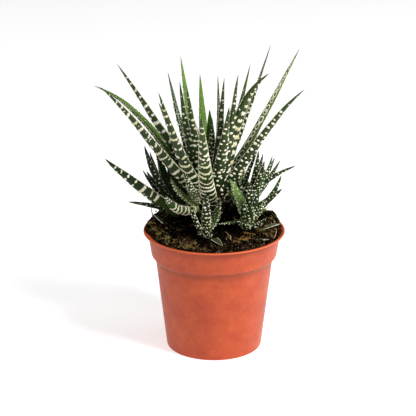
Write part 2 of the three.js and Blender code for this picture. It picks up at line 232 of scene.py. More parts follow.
pot = add_mesh("nursery_pot", [turned(rounded(POT_OUTSIDE + POT_INSIDE), POT_SECTORS)], pot_plastic)
drills = []
for i in range(DRAIN_HOLES):
    angle = (i + 0.5) * 2 * math.pi / DRAIN_HOLES
    drill = turned(DRILL, 32)
    drill["points"] += [DRAIN_CIRCLE * math.cos(angle), DRAIN_CIRCLE * math.sin(angle), 0]
    drills.append(drill)
punch = add_mesh("punch", drills, pot_plastic)
holes = pot.modifiers.new("drain holes", "BOOLEAN")
holes.object = punch
holes.operation = "DIFFERENCE"
punched = bpy.data.meshes.new_from_object(pot.evaluated_get(bpy.context.evaluated_depsgraph_get()))
pot.modifiers.clear()
pot.data = punched
pot.data.set_sharp_from_angle(angle=math.radians(35))
bpy.data.objects.remove(punch)
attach(pot, "root")
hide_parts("pot")

# Peat
# Dark moist peat that fills the pot, heaped over the lip at the back and left and sunk below it at
# the front and right. Its top is loose: crumbs, coarse lumps and pale root fibres lie on it.

SOIL_EDGE = 38.8
SOIL_SECTORS = 240
SOIL_RINGS = 64
RIM_DROP = 0.8
CLEARANCE = 0.3
# The sides of the peat against the pot's, as radius and height
PEAT_SIDES = [(28.4, 1.2), (29.3, 2.1), (36.2, 59.2), (38.8, 62.4)]
WALL_RADII, WALL_HEIGHTS, _ = zip(*reversed(POT_INSIDE[:-1]))
CRUMBS = 4600
CRUMB_REACH = 40.5
# Beyond this radius crumbs lie only where the peat stands higher than this
BRIM_RADIUS = 39
BRIM_HEIGHT = 78.5
CRUMB_SIZES = [0.32, 0.5, 0.8, 1.3, 1.8]
CRUMB_SHARES = [0.4, 0.32, 0.16, 0.09, 0.03]
# Crumbs spilt on the flare at the right: how many, and their angles, radii and sizes
SPILT_CRUMBS = 260
SPILT_ANGLES = (-1.15, 0.45)
SPILT_RADII = (40.3, 42.7)
SPILT_SIZES = [0.5, 0.8, 1.1]
# Painted shade: the peat's pale patches and grit fade out toward the middle, under the plants, between two
# radii
PEAT_SHADE_RADII = (18, 36)
# Sizes of its patches and of its grit
PATCH_SIZE = 11.1
GRIT_SIZE = 1.11
rng = np.random.default_rng(4)


def soil_height(x, y):
    """Height of the ground in mm, without its crumbs."""
    across, back = x / SOIL_EDGE, y / SOIL_EDGE
    out = np.minimum(1, np.hypot(across, back))
    slope = 3.4 * np.tanh(2.2 * (back - 0.1 * across)) - 0.7 * across
    lumps = np.sin(0.31 * x + 1.1) * np.cos(0.27 * y - 0.4)
    lumps = lumps + 0.6 * np.sin(0.53 * y + 0.22 * x) * np.cos(0.47 * x - 0.9)
    heaped = 3 * np.exp(-((x - 36) ** 2 + (y - 18) ** 2) / 100)
    return 78.3 + slope + 3.2 * (1 - out**2.4) + 0.6 * lumps + heaped


def toned(points, faces, tone):
    """A part with arrays of faces, and one tone for all of its points or one for each."""
    points = np.reshape(points, (-1, 3))
    return {"points": points, "faces": faces, "values": {"tone": np.zeros(len(points)) + tone}}


def pot_inside(z):
    """Radius of the pot's inside at a height."""
    return float(np.interp(z, WALL_HEIGHTS, WALL_RADII))


def crumbled(x, y, z):
    """How far the loose surface stands above or below the ground at a point."""
    coarse = noise.fractal(Vector((x * 0.22, y * 0.22, z * 0.22)), 0.8, 2.1, 3)
    fine = noise.noise(Vector((x * 1.1 + 7, y * 1.1, z)))
    return 0.75 * coarse + 0.28 * fine


def ground_z(x, y):
    """Height of the loose surface in mm."""
    z = float(soil_height(x, y))
    return z + crumbled(x, y, z)


ground_rows = []
for k in range(SOIL_SECTORS):
    angle = 2 * math.pi * k / SOIL_SECTORS
    cos, sin = math.cos(angle), math.sin(angle)
    edge = float(soil_height(SOIL_EDGE * cos, SOIL_EDGE * sin))
    rim = min(edge - RIM_DROP, POT_HEIGHT)
    neck = min(FLARE_FOOT, rim - CLEARANCE)
    rim_radius = pot_inside(rim) - CLEARANCE
    brim = rim_radius - RIM_DROP
    row = [*PEAT_SIDES, (pot_inside(neck) - CLEARANCE, neck), (rim_radius, rim)]
    row += [(brim + 0.5, rim + 0.7 * (edge - rim)), (brim, edge)]
    for radius in np.linspace(min(brim - 0.7, SOIL_EDGE), 0.6, SOIL_RINGS):
        row.append((radius, float(soil_height(radius * cos, radius * sin))))
    placed = []
    for i, (radius, z) in enumerate(row):
        x, y = radius * cos, radius * sin
        # Only the top is loose, not the sides
        loose = crumbled(x, y, z) * min(1, max(0, i - 5) / 3)
        placed.append((x, y, z + loose))
    ground_rows.append(placed)
middle_top = (0, 0, float(soil_height(0, 0)))
ground = capped(np.array(ground_rows).transpose(1, 0, 2), (0, 0, PEAT_SIDES[0][1]), middle_top)
ground = toned(ground["points"], ground["faces"], 0)

# An icosahedron, for crumbs
GOLDEN = (1 + 5**0.5) / 2
ICO_POINTS = np.array(
    [(-1, GOLDEN, 0), (1, GOLDEN, 0), (-1, -GOLDEN, 0), (1, -GOLDEN, 0)]
    + [(0, -1, GOLDEN), (0, 1, GOLDEN), (0, -1, -GOLDEN), (0, 1, -GOLDEN)]
    + [(GOLDEN, 0, -1), (GOLDEN, 0, 1), (-GOLDEN, 0, -1), (-GOLDEN, 0, 1)]
) / math.hypot(1, GOLDEN)
# A little longer than its edges
ICO_REACH = 1.06


def faces_out(corners):
    """Whether three corners of the icosahedron make a face that turns outward, least corner first."""
    a, b, c = ICO_POINTS[list(corners)]
    longest = max(np.linalg.norm(a - b), np.linalg.norm(b - c), np.linalg.norm(a - c))
    return min(corners) == corners[0] and longest < ICO_REACH and np.dot(np.cross(a, b), c) > 0


ICO_FACES = np.array([corners for corners in itertools.permutations(range(12), 3) if faces_out(corners)])


def crumb(x, y, size, tone):
    """An irregular grain that lies on the ground, or on the wall where that stands higher."""
    shape = ICO_POINTS * rng.uniform(0.6, 1.3, (12, 1)) * size * rng.uniform(0.45, 1.3, 3)
    rest = max(ground_z(x, y), np.interp(math.hypot(x, y), WALL_RADII, WALL_HEIGHTS))
    return toned(shape + [x, y, rest + 0.25 * size], [ICO_FACES], tone)


crumbs = []
for _ in range(CRUMBS):
    angle, radius = rng.uniform(0, 2 * math.pi), CRUMB_REACH * math.sqrt(rng.uniform())
    x, y = radius * math.cos(angle), radius * math.sin(angle)
    if radius > BRIM_RADIUS and soil_height(x, y) < BRIM_HEIGHT:
        continue
    size = rng.choice(CRUMB_SIZES, p=CRUMB_SHARES)
    # Painted shade: crumbs toward the middle are held darker, as under the plants' shadow
    dryness = np.interp(radius, [22, 33], [0.72, 1])
    crumbs.append(crumb(x, y, size, dryness * rng.uniform(0, 1 if size < 1 else 0.6)))
for _ in range(SPILT_CRUMBS):
    angle, radius = rng.uniform(*SPILT_ANGLES), rng.uniform(*SPILT_RADII)
    size = rng.choice(SPILT_SIZES)
    crumbs.append(crumb(radius * math.cos(angle), radius * math.sin(angle), size, rng.uniform(0, 0.75)))

# Moist peat: almost black and matt, with rusty and pale grains of half rotted stem, which are painted
# fewer toward the middle as shade under the plants
peat, shader, place = new_material(
    "moist peat, loose and matt", {"Roughness": 0.95, "IOR": 1.35, "Specular IOR Level": 0.1}
)
across = add_node(shader, "VectorMath", {0: place, 1: (1, 1, 0)}, operation="MULTIPLY")
radius = add_node(shader, "VectorMath", {0: across}, "Value", operation="LENGTH")
# Painted shade: inside the first radius the peat keeps few pale patches and little grit, as under the plants'
# shadow
moist, dry = PEAT_SHADE_RADII
peat_lit_share = add_node(
    shader, "MapRange", {"Value": radius, "From Min": moist, "From Max": dry, "To Min": 0.15}
)
patch = add_node(
    shader, "TexNoise", {"Vector": place, "Scale": 1 / PATCH_SIZE, "Detail": 5, "Roughness": 0.65}
)
patch_share = add_node(
    shader, "MapRange", {"Value": patch, "From Min": 0.47, "From Max": 0.66, "To Max": peat_lit_share}
)
grit = add_node(shader, "TexNoise", {"Vector": place, "Scale": 1 / GRIT_SIZE, "Detail": 3, "Roughness": 0.7})
grit_share = add_node(
    shader, "MapRange", {"Value": grit, "From Min": 0.56, "From Max": 0.7, "To Max": peat_lit_share}
)
tone = add_node(shader, "Attribute", {}, "Fac", attribute_name="tone")
tone_share = add_node(shader, "MapRange", {"Value": tone, "From Min": 0.68, "To Max": 0.95})
layers = [(patch_share, "#523a26"), (grit_share, "#998462"), (tone_share, "#c2ad8c")]
finish(shader, "#040302", layers, (grit, 0.7, 0.8))

soil = add_mesh("peat", [ground, *crumbs], peat)
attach(soil, "root")
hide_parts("soil")

# Leaves
# Each leaf is fleshy and smooth, rounded on its back and nearly flat on its face, and tapers to a
# stiff point. Its line bends evenly from root to tip. It grew from the stem and is joined to it.

LEAF_STEPS = 96
BACK_DEPTH_ROOT = 0.6
BACK_DEPTH_TIP = 0.95
FACE_CROWN = 0.14
ROOT_WIDTH = 0.78


def leaf(azimuth, root, lean, length, width, roll=0, marks="", fatness=1, **shape):
    """A leaf's line: azimuth, height of its root, lean at root, middle and tip, length and width.

    The rest of its shape is its shoulder, the share at which it reaches its full width, and its
    fullness towards the tip. Its tint goes with them.
    """
    t = np.linspace(0, 1, LEAF_STEPS + 1)
    low, middle, high = np.radians(lean)
    sin_turn, cos_turn = math.sin(math.radians(azimuth)), math.cos(math.radians(azimuth))

    def along(t):
        tilt = low + (4 * middle - 3 * low - high) * t + (2 * low - 4 * middle + 2 * high) * t * t
        return np.stack([np.sin(tilt) * sin_turn, -np.sin(tilt) * cos_turn, np.cos(tilt)], axis=-1)

    strides = along((t[1:] + t[:-1]) / 2) * length / LEAF_STEPS
    points = np.vstack([np.zeros(3), np.cumsum(strides, axis=0)]) + [0, 0, root]
    flat = np.tile([cos_turn, sin_turn, 0], (len(t), 1))
    up = np.cross(along(t), flat)
    cos, sin = math.cos(math.radians(roll)), math.sin(math.radians(roll))
    return {
        "t": t,
        "points": points,
        "across": flat * cos + up * sin,
        "inward": up * cos - flat * sin,
        "along": along(t),
        "length": length,
        "width": width,
        "marks": marks,
        "fatness": fatness,
        **shape,
    }


def half_width(row, t):
    """Half of a leaf's width at shares t of its length."""
    swell = np.minimum(1, ROOT_WIDTH + (1 - ROOT_WIDTH) * t / row["shoulder"])
    return row["width"] / 2 * swell * np.maximum(0, 1 - t ** row["fullness"]) ** 0.8


def along_leaf(row, t, *keys):
    """What a leaf's line holds under each key, at shares t of its length."""
    return [np.stack([np.interp(t, row["t"], row[key][:, i]) for i in range(3)], axis=-1) for key in keys]


def half_depth(row, t, angle):
    """How far a leaf's skin stands off the middle of its width, over its back or its face."""
    half = half_width(row, t)
    back = half * row["fatness"] * (BACK_DEPTH_ROOT + (BACK_DEPTH_TIP - BACK_DEPTH_ROOT) * t)
    return np.where(np.sin(angle) >= 0, back, FACE_CROWN * half)


def on_leaf(row, t, angle, rise):
    """Points that stand rise mm over a leaf's skin, at shares of its length and angles round it.

    Angles from 0 to pi go over its back, and those from pi to 2 pi over its face.
    """
    t, angle, rise = np.broadcast_arrays(np.clip(t, 0, 1), angle, rise)
    middle, across, inward = along_leaf(row, t, "points", "across", "inward")
    half, depth = half_width(row, t), half_depth(row, t, angle)
    cos, sin = np.cos(angle), np.sin(angle)
    out_across, out_inward = cos * (depth + 0.02), -sin * (half + 0.02)
    size = np.hypot(out_across, out_inward)
    side = half * cos + rise * out_across / size
    lift = -depth * sin + rise * out_inward / size
    return middle + across * side[..., None] + inward * lift[..., None]


def leaf_body(row, spacing, around):
    """The skin of a leaf: its rows of points, closed at the root and drawn to a point at the tip."""
    rows = max(10, round(row["length"] / spacing))
    t = np.linspace(0, 1, rows + 1)[:-1] ** 0.97
    back = np.linspace(0, np.pi, around * 3 // 5, endpoint=False)
    face = np.linspace(np.pi, 2 * np.pi, around - len(back), endpoint=False)
    angle = np.concatenate([back, face])
    grid_t, grid_angle = np.meshgrid(t, angle, indexing="ij")
    wobble = 0.05 * half_width(row, grid_t) * np.sin(23 * grid_t + 2 * np.sin(grid_angle + row["width"]))
    points = on_leaf(row, grid_t, grid_angle, wobble).reshape(-1, 3)
    per_row, k = len(angle), np.arange(len(angle))
    last = (rows - 1) * per_row
    tip = len(points)
    share = np.append(grid_t.ravel(), 1)
    # The flanks of the leaf with the ring marks are half as bright as its face
    flank = 0.3 if row["marks"] == "rings" else 0
    face_share = np.append(np.clip(-np.sin(grid_angle) * 2.5, flank, 1).ravel(), 0.3)
    return {
        "points": np.vstack([points, row["points"][-1]]),
        "faces": [
            ring_quads(rows, per_row)[:, ::-1],
            np.stack([last + k, last + (k + 1) % per_row, np.full(per_row, tip)], axis=1)[:, ::-1],
            np.stack([np.zeros(per_row - 2, int), k[2:], k[1:-1]], axis=1)[:, ::-1],
        ],
        "values": {"share": share, "face": face_share, "tint": np.full(len(share), row["tint"])},
    }


# The white marks are tubercles: bumps of pale corky skin. On old leaves they run together into
# ridges across the back, on young ones they stay apart as dots, and a row of them lines each edge.

# How a ridge's cross section runs along the leaf, in half widths, and how high it stands there
RIDGE_ALONG = np.array([-1, -0.62, 0, 0.62, 1])[:, None]
RIDGE_RISE = np.array([-0.12, 0.75, 1, 0.75, -0.12])[:, None]
KNOB_SPACING = 0.45
# The angles at which a ridge right across a leaf's back begins and ends
BACK_START, BACK_END = 0.12, 3.02


def ridge(row, at, start, end, width, height, tone):
    """A knobbly band over part of a leaf's back, from one angle to another, at mm from the root."""
    half = float(half_width(row, at / row["length"]))
    columns = max(5, round(abs(end - start) * half / KNOB_SPACING))
    angle, k = np.linspace(start, end, columns), np.arange(columns)
    ends = np.clip(np.minimum(k, columns - 1 - k) / 1.4 + 0.3, 0, 1)
    knobs = (0.5 + 0.5 * np.abs(np.sin(k * 0.95 + 9 * tone)) * rng.uniform(0.7, 1.3, columns)) * ends
    sag = -1.4 * half / 5 * np.sin(angle) + 0.3 * np.sin(3.1 * angle + 20 * tone)
    drift = sag + rng.normal(0, 0.07, columns)
    t = (at + drift + RIDGE_ALONG * knobs * width / 2) / row["length"]
    points = on_leaf(row, t, angle[None, :], RIDGE_RISE * height * knobs)
    return toned(points, [ring_quads(len(RIDGE_RISE), columns, closed=False)], tone)


# A dot is a middle point, a ring of six round it and a skirt of six that sinks into the skin
DOT_TURN = np.linspace(0, 2 * np.pi, 6, endpoint=False)
DOT_OUT = np.concatenate([[0], np.full(6, 0.62), np.full(6, 1)])
DOT_ALONG = DOT_OUT * np.concatenate([[0], np.cos(DOT_TURN), np.cos(DOT_TURN)])
DOT_ROUND = DOT_OUT * np.concatenate([[0], np.sin(DOT_TURN), np.sin(DOT_TURN)])
DOT_RISE = np.concatenate([[1], np.full(6, 0.72), np.full(6, -0.15)])
step, ahead = np.arange(6), (np.arange(6) + 1) % 6
DOT_FAN = np.stack([np.zeros(6, int), 1 + ahead, 1 + step], axis=1)
DOT_SKIRT = np.stack([1 + step, 1 + ahead, 7 + ahead, 7 + step], axis=1)


def round_bumps(points, tones):
    """A part made of dots, from the points of each and a tone for each."""
    starts = len(DOT_OUT) * np.arange(len(tones))[:, None, None]
    faces = [(DOT_FAN + starts).reshape(-1, 3), (DOT_SKIRT + starts).reshape(-1, 4)]
    return toned(points, faces, np.repeat(tones, len(DOT_OUT)))


def shrunk(row, at):
    """How small bumps get at mm from the root, where the leaf narrows to its tip."""
    return np.clip(half_width(row, at / row["length"]) / (0.25 * row["width"]), 0.35, 1)


def dots(row, at, angle, along, around, height, tone):
    """Round bumps on a leaf, from arrays of their places in mm and angle and their half sizes."""
    t = at / row["length"]
    half, depth = half_width(row, t), half_depth(row, t, angle)
    per_radian = np.maximum(np.hypot(half * np.sin(angle), depth * np.cos(angle)), 0.35 * half + 0.1)
    t_all = (at[:, None] + along[:, None] * DOT_ALONG) / row["length"]
    angle_all = angle[:, None] + (around / per_radian)[:, None] * DOT_ROUND
    return round_bumps(on_leaf(row, t_all, angle_all, height[:, None] * DOT_RISE), tone)


RING_TURN = np.linspace(0, 2 * np.pi, 12, endpoint=False)
# A ring mark's three rows, as shares of its size and as heights in mm
RING_SIZES = np.array([1.3, 1, 0.7])[:, None]
RING_RISE = np.array([-0.1, 0.4, -0.1])[:, None]


def ringed(row):
    """The open marks on the flank of an old leaf: bumps worn hollow, with only their rims left."""
    marks = []
    at = 0.2 * row["length"]
    while at < 0.92 * row["length"]:
        for middle in (0.6, 2.55):
            long, wide = rng.uniform(1.5, 2.3), rng.uniform(0.3, 0.42)
            centre, tone = at + rng.uniform(-0.9, 0.9), rng.uniform(0.3, 1)
            t = (centre + RING_SIZES * long * np.cos(RING_TURN)) / row["length"]
            points = on_leaf(row, t, middle + RING_SIZES * wide * np.sin(RING_TURN), RING_RISE)
            marks.append(toned(points, [ring_quads(len(RING_SIZES), len(RING_TURN))], tone))
        at += rng.uniform(4.2, 5.4)
    return marks


def teeth(row, spacing, size, stretch=1.25, begin=0.04):
    """The row of bumps along both edges of a leaf. Stretched ones run together into a line."""
    at = np.arange(begin * row["length"], 0.975 * row["length"], spacing)
    at = np.concatenate([at, at + spacing / 2])
    at = at + rng.uniform(-0.2, 0.2, len(at)) * spacing
    side = np.repeat([1, -1], len(at) // 2)
    t = at / row["length"]
    scale = size * shrunk(row, at) * rng.uniform(0.75, 1.2, len(at))
    middle, across, inward, along = along_leaf(row, t, "points", "across", "inward", "along")
    edge = middle + across * (side * half_width(row, t))[:, None]
    out = (DOT_RISE * 0.95)[None, :, None] * across[:, None, :] * side[:, None, None]
    lengthwise = (DOT_ALONG * stretch)[None, :, None] * along[:, None, :] * side[:, None, None]
    thickness = (DOT_ROUND * 0.85)[None, :, None] * inward[:, None, :]
    points = edge[:, None, :] + (out + lengthwise + thickness) * scale[:, None, None]
    return round_bumps(points, rng.uniform(0.3, 1, len(at)))


def banded(row, begin):
    """The marks of an old leaf: ridges across its back, some broken in two or three."""
    marks, at_dots, angle_dots = [], [], []
    at = begin * row["length"]
    while at < 0.93 * row["length"]:
        t = at / row["length"]
        gap = np.interp(t, [0, 0.25, 0.5, 0.8, 1], [3.3, 4.8, 6.2, 5.8, 4]) * rng.uniform(0.78, 1.25)
        width = np.interp(t, [0, 0.3, 0.6, 1], [1.5, 2, 2.3, 1.3]) * rng.uniform(0.75, 1.25)
        height = np.interp(t, [0, 0.5, 1], [0.36, 0.55, 0.3])
        tone = rng.uniform() * min(1, 0.1 + 1.8 * t)
        kind = rng.uniform()
        if gap > 4.6 and t < 0.85 and rng.uniform() < 0.6:
            for _ in range(rng.integers(1, 3)):
                at_dots.append(at + gap * rng.uniform(0.35, 0.7))
                angles = [rng.uniform(0.2, 0.8), rng.uniform(0.9, 2.2), rng.uniform(2.3, 2.9)]
                angle_dots.append(rng.choice(angles))
        if kind < 0.5:
            marks.append(ridge(row, at, BACK_START, BACK_END, width, height, tone))
        elif kind < 0.85:
            cut = rng.uniform(1.1, 2.0)
            marks.append(ridge(row, at, BACK_START, cut - 0.12, width, height, tone))
            shift = rng.uniform(0.8, 2.2)
            marks.append(ridge(row, at + shift, cut + 0.12, BACK_END, width, height, rng.uniform()))
        else:
            marks.append(ridge(row, at, 0.15, 0.95, width, height, tone))
            marks.append(ridge(row, at + rng.uniform(-0.8, 0.8), 1.25, 1.9, width * 1.15, height, tone))
            marks.append(ridge(row, at, 2.2, 3.0, width, height, rng.uniform()))
        at += gap
    if at_dots:
        at_dots, angle_dots = np.array(at_dots), np.array(angle_dots)
        size = rng.uniform(0.45, 0.85, len(at_dots))
        tone = rng.uniform(0, 1, len(at_dots))
        marks.append(dots(row, at_dots, angle_dots, size * 0.8, size * 1.3, size * 0.6, tone))
    return marks


def patched(row):
    """The marks of a half grown leaf: ridges near its root, then thick patches along its back."""
    marks, at = [], 0.06 * row["length"]
    while at < 0.93 * row["length"]:
        t = at / row["length"]
        if t < 0.24:
            marks.append(ridge(row, at, BACK_START, BACK_END, 1.8, 0.45, rng.uniform()))
            at += rng.uniform(3.2, 4.6)
            continue
        size = np.interp(t, [0.24, 0.6, 0.9], [1, 0.75, 0.45])
        middle = 1.5 + rng.uniform(-0.12, 0.12)
        reach = rng.uniform(0.55, 0.72) * (0.7 + 0.3 * size)
        marks.append(ridge(row, at, middle - reach, middle + reach, 4.4 * size, 0.6, rng.uniform(0, 0.7)))
        if t < 0.7:
            marks.append(ridge(row, at + rng.uniform(1.2, 2.4), 2.35, 2.8, 2 * size, 0.4, rng.uniform()))
            marks.append(ridge(row, at + rng.uniform(1.2, 2.4), 0.3, 0.65, 1.8 * size, 0.35, rng.uniform()))
        at += rng.uniform(5.6, 6.8) * (0.3 + 0.7 * size)
    return marks


def striped(row):
    """The marks of a fat low leaf: close thick stripes to two thirds of its length, then dots."""
    marks = []
    at = 0.12 * row["length"]
    while at < 0.66 * row["length"]:
        marks.append(ridge(row, at, 0.1, 3.04, 1.25, 0.5, rng.uniform()))
        at += rng.uniform(2.1, 2.6)
    beyond = [place for place in at + np.array([1.4, 3, 4.6, 6.2]) if place < 0.95 * row["length"]]
    beyond = np.repeat(beyond, 3)
    angle = np.tile([0.6, 1.5, 2.5], len(beyond) // 3) + rng.uniform(-0.2, 0.2, len(beyond))
    size = rng.uniform(0.4, 0.6, len(beyond))
    tone = rng.uniform(0.3, 1, len(beyond))
    return [*marks, dots(row, beyond, angle, size * 0.9, size * 1.4, size * 0.6, tone)]


def speckled(row, spacing, size, columns):
    """The marks of a younger leaf: dots in loose rows across its back."""
    at, angle = [], []
    place, count = 0.06 * row["length"], 0
    while place < 0.95 * row["length"]:
        across = max(1, columns - (place > 0.6 * row["length"]) - (place > 0.82 * row["length"]))
        for i in range(across):
            at.append(place + rng.uniform(-0.22, 0.22) * spacing)
            stagger = 0.3 * (count % 2 - 0.5)
            angle.append(np.pi * (i + 0.5 + stagger) / across + rng.uniform(-0.12, 0.12))
        place += spacing * rng.uniform(0.85, 1.15)
        count += 1
    at, angle = np.clip(at, 0, 0.96 * row["length"]), np.array(angle)
    big = size * shrunk(row, at) * rng.uniform(0.7, 1.3, len(at))
    along, around = big * rng.uniform(0.75, 1.05, len(at)), big * rng.uniform(0.95, 1.7, len(at))
    return [dots(row, at, angle, along, around, big * 0.62, rng.uniform(0.2, 1, len(at)))]


def freckled(row, spacing, size):
    """The few dots on the face of a leaf."""
    count = max(3, round(row["length"] * 0.9 / spacing))
    at = np.linspace(0.08, 0.88, count) * row["length"] + rng.uniform(-0.4, 0.4, count) * spacing
    angle = np.pi + rng.uniform(0.6, np.pi - 0.6, count)
    big = size * shrunk(row, at) * rng.uniform(0.6, 1.2, count)
    return [dots(row, at, angle, big, big, big * 0.5, rng.uniform(0.3, 1, count))]


# Kinds of marks: those on the back with their numbers, then spacing and size of the dots on the face,
# and spacing, size, stretch and begin of the teeth
MARKS = {
    "bands": (banded, [0.05], [2.3, 0.42], [1.35, 0.42, 1.75]),
    "outer bands": (banded, [0.34], [3.2, 0.34], [1.35, 0.42, 1.75, 0.24]),
    "pads": (speckled, [3.7, 0.92, 3], [1.7, 0.5], [1.35, 0.42, 1.3]),
    "dots": (speckled, [2.8, 0.68, 4], [2.6, 0.4], [1.35, 0.42, 1.3]),
    "beads": (speckled, [3.5, 1, 3], [2.6, 0.5], [1.35, 0.42, 1.3]),
    "rings": (ringed, [], [2.6, 0.5], [1.35, 0.42, 1.3]),
    "column": (speckled, [3.2, 0.95, 1], [2.6, 0.4], [1.35, 0.42, 1.3]),
    "patches": (patched, [], [3.2, 0.4], [1.35, 0.42, 1.3]),
    "specks": (speckled, [2.6, 0.62, 3], [1.3, 0.46], [1.6, 0.42]),
    "thick specks": (speckled, [1.9, 0.55, 4], [0.6, 0.45], [1.6, 0.42]),
    "fine specks": (speckled, [2.9, 0.44, 3], [1.8, 0.3], [1.5, 0.3]),
    "stripes": (striped, [], [2.6, 0.36], [1.6, 0.42]),
}


def marks_of(row):
    """All the bumps of one leaf: those on its back, those on its face and the teeth on its edges."""
    made_by, back, face, edge = MARKS[row["marks"]]
    return made_by(row, *back) + freckled(row, *face) + [teeth(row, *edge)]


def moved(parts, place):
    """Parts with their points moved."""
    return [{**part, "points": part["points"] + place} for part in parts]


def unmarked(part):
    """A part of plain skin, whose values are all zero."""
    part["values"] = {value: np.zeros(len(part["points"])) for value in ("share", "face", "tint")}
    return part


def add_rosette(name, rows, stems, foot, skin, grid):
    """A rosette's leaves and stems as one piece, and the bumps on its leaves as another."""
    bodies = [leaf_body(row, *grid) for row in rows] + stems
    marks = [part for row in rows for part in marks_of(row)]
    return (
        add_mesh(name + "_leaves", moved(bodies, foot), skin),
        add_mesh(name + "_tubercles", moved(marks, foot), cork),
    )


# Size of the patches where the tubercles' skin is thin
THIN_SIZE = 2.38
# Tubercles: pale corky skin, matt, cream with a green or pinkish cast where it is thin
cork, shader, place = new_material("tubercle, pale corky skin", {"Roughness": 0.55, "IOR": 1.4})
thin = add_node(shader, "TexNoise", {"Vector": place, "Scale": 1 / THIN_SIZE, "Detail": 3})
tone = add_node(shader, "Attribute", {}, "Fac", attribute_name="tone")
finish(shader, "#adb07c", [(thin, "#e2dcb8"), (tone, "#efeadb")])

# Mother rosette
# The old plant: 32 leaves spiral up a short stem that stands in the peat. The outer ones are banded,
# the young inner ones dotted. A stalk from the side of the stem carries a sprout.

MOTHER_FOOT = np.array([-2.5, 4, 80])
# The stem's corners as radius, height and rounding
MOTHER_STEM = [
    (0, -9, 0),
    (5, -9, 0.8),
    (5, 2, 0.8),
    (6.4, 11, 0.8),
    (5, 17, 0.8),
    (2.5, 26, 0.8),
    (0, 26, 0),
]
# Spacing in mm of the rows of points along an adult leaf, and how many points go round it
ADULT_GRID = (1.6, 18)
MOTHER_LEAVES = [
    # Azimuth, height of its root, lean at root, middle and tip, length, width and fullness, and
    # perhaps roll and marks other than bands
    (182, 13, [62, 54, 50], 64, 10.5, 1.6),
    (140, 13, [66, 52, 46], 60, 10, 1.6),
    (226, 13, [66, 54, 46], 60, 10, 1.6),
    (354, 14, [56, 34, 26], 90, 10.5, 1.6),
    (287, 15, [50, 37, 48], 107.5, 11, 1.3, 30, "bands"),
    (262, 15, [46, 38, 74], 105.8, 10.5, 1.4, -10, "pads"),
    (78, 15, [44, 33, 50], 97.8, 10, 1.5, -35, "beads"),
    (98, 17, [37, 29, 29], 111, 10, 1.4, -38, "rings"),
    (226, 17, [54, 38, 36], 72, 10, 1.3),
    (318, 18, [49, 28, 24], 91.5, 11.5, 1.35),
    (61, 18, [34, 16, 56], 97, 11.5, 1.6, -28, "patches"),
    (42, 18, [41, 11, 15], 90, 9, 1.35, 0, "column"),
    (104, 19, [28, 21, 20], 104, 9.5, 1.15, -15, "beads"),
    (145, 19, [43, 29, 23], 89.5, 8, 1),
    (191, 19, [41, 24, 19], 79.5, 9, 1.25),
    (272, 20, [40, 32, 36], 103.1, 10.5, 1.35, 35, "bands"),
    (213, 20, [37, 21, 15], 90.5, 9.5, 1.05),
    (255, 20, [33, 17, 15], 83.5, 9.5, 1.3, 0, "pads"),
    (306, 20, [34, 14, 10], 81.5, 10, 1.4, 0, "pads"),
    (75, 21, [32, 14, 12], 75.5, 8, 1.2, 0, "column"),
    (325, 21, [29, 17, 13], 80.4, 8, 1.5, 0, "pads"),
    (22, 21, [43, 23, 17], 71.9, 9, 1.6, 0, "pads"),
    (35, 22, [24, 8, 10], 79, 8, 1.3, 0, "column"),
    (98, 22, [13, 2, 0], 76, 9, 1.3, 0, "dots"),
    (165, 20, [9, -3, -7], 56.6, 9, 1.8, 0, "dots"),
    (205, 20, [42, 30, 26], 58.5, 9, 1.8, 0, "dots"),
    (238, 19, [37, 23, 17], 59.0, 9, 1.8, 0, "dots"),
    (120, 20, [26, 14, 10], 56.7, 9, 1.8, 0, "dots"),
    (10, 23, [20, 6, 2], 50, 7, 1.6, 0, "dots"),
    (335, 22, [30, 14, 8], 54, 7.5, 1.6, 0, "dots"),
    (48, 22, [34, 16, 10], 60, 7.5, 1.6, 0, "dots"),
    (290, 22, [30, 16, 10], 60, 7.5, 1.6, 0, "pads"),
]
SPROUT_STALK = (325, 6, [72, 60, 46], 18.5, 9, 1.8)


def adult(azimuth, root, lean, length, width, fullness, roll=0, marks="bands"):
    """A leaf of the mother plant."""
    tint = rng.uniform(0, 1)
    return leaf(azimuth, root, lean, length, width, roll, marks, shoulder=0.1, fullness=fullness, tint=tint)


# Sizes of the skin's mottling and of its pores, which are drawn coarser than they are to show at all
MOTTLE_SIZE = 3.85
PORE_SIZE = 0.667
# A fleshy leaf under a waxy skin: dark green on the back, fresher green on the face, paler outward
# as painted light, dark brown where it joins the stem as painted shade and partly dry skin, brown at
# the dry point, with a low even sheen
leaf_skin, shader, place = new_material(
    "haworthia leaf, waxy adult skin", {"Roughness": 0.5, "IOR": 1.4, "Specular IOR Level": 0.3}
)
mottle = add_node(
    shader, "TexNoise", {"Vector": place, "Scale": 1 / MOTTLE_SIZE, "Detail": 4, "Roughness": 0.6}
)
tint = add_node(shader, "Attribute", {}, "Fac", attribute_name="tint")
front = add_node(shader, "Mix", {SHARE: tint, UNDER: "#34562a", OVER: "#73983f"}, MIXED, data_type="RGBA")
share = add_node(shader, "Attribute", {}, "Fac", attribute_name="share")
# Painted light: the outer part of each leaf is paler, as if it caught more light than the root
leaf_lit_share = add_node(
    shader, "MapRange", {"Value": share, "From Min": 0.15, "From Max": 0.8, "To Max": 0.55}
)
face = add_node(shader, "Attribute", {}, "Fac", attribute_name="face")
# Painted shade deep in the rosette, and partly dry skin: each leaf turns dark brown toward its root
root_share = add_node(shader, "MapRange", {"Value": share, "From Max": 0.19, "To Min": 0.9, "To Max": 0})
tip_share = add_node(
    shader, "MapRange", {"Value": share, "From Min": 0.955, "From Max": 0.995, "To Max": 0.8}
)
pores = add_node(shader, "TexNoise", {"Vector": place, "Scale": 1 / PORE_SIZE})
layers = [(mottle, "#2f4222"), (leaf_lit_share, "#4f6039"), (face, front)]
layers += [(root_share, "#2b2618"), (tip_share, "#5a4632")]
finish(shader, "#19250f", layers, (pores, 0.15, 0.2))

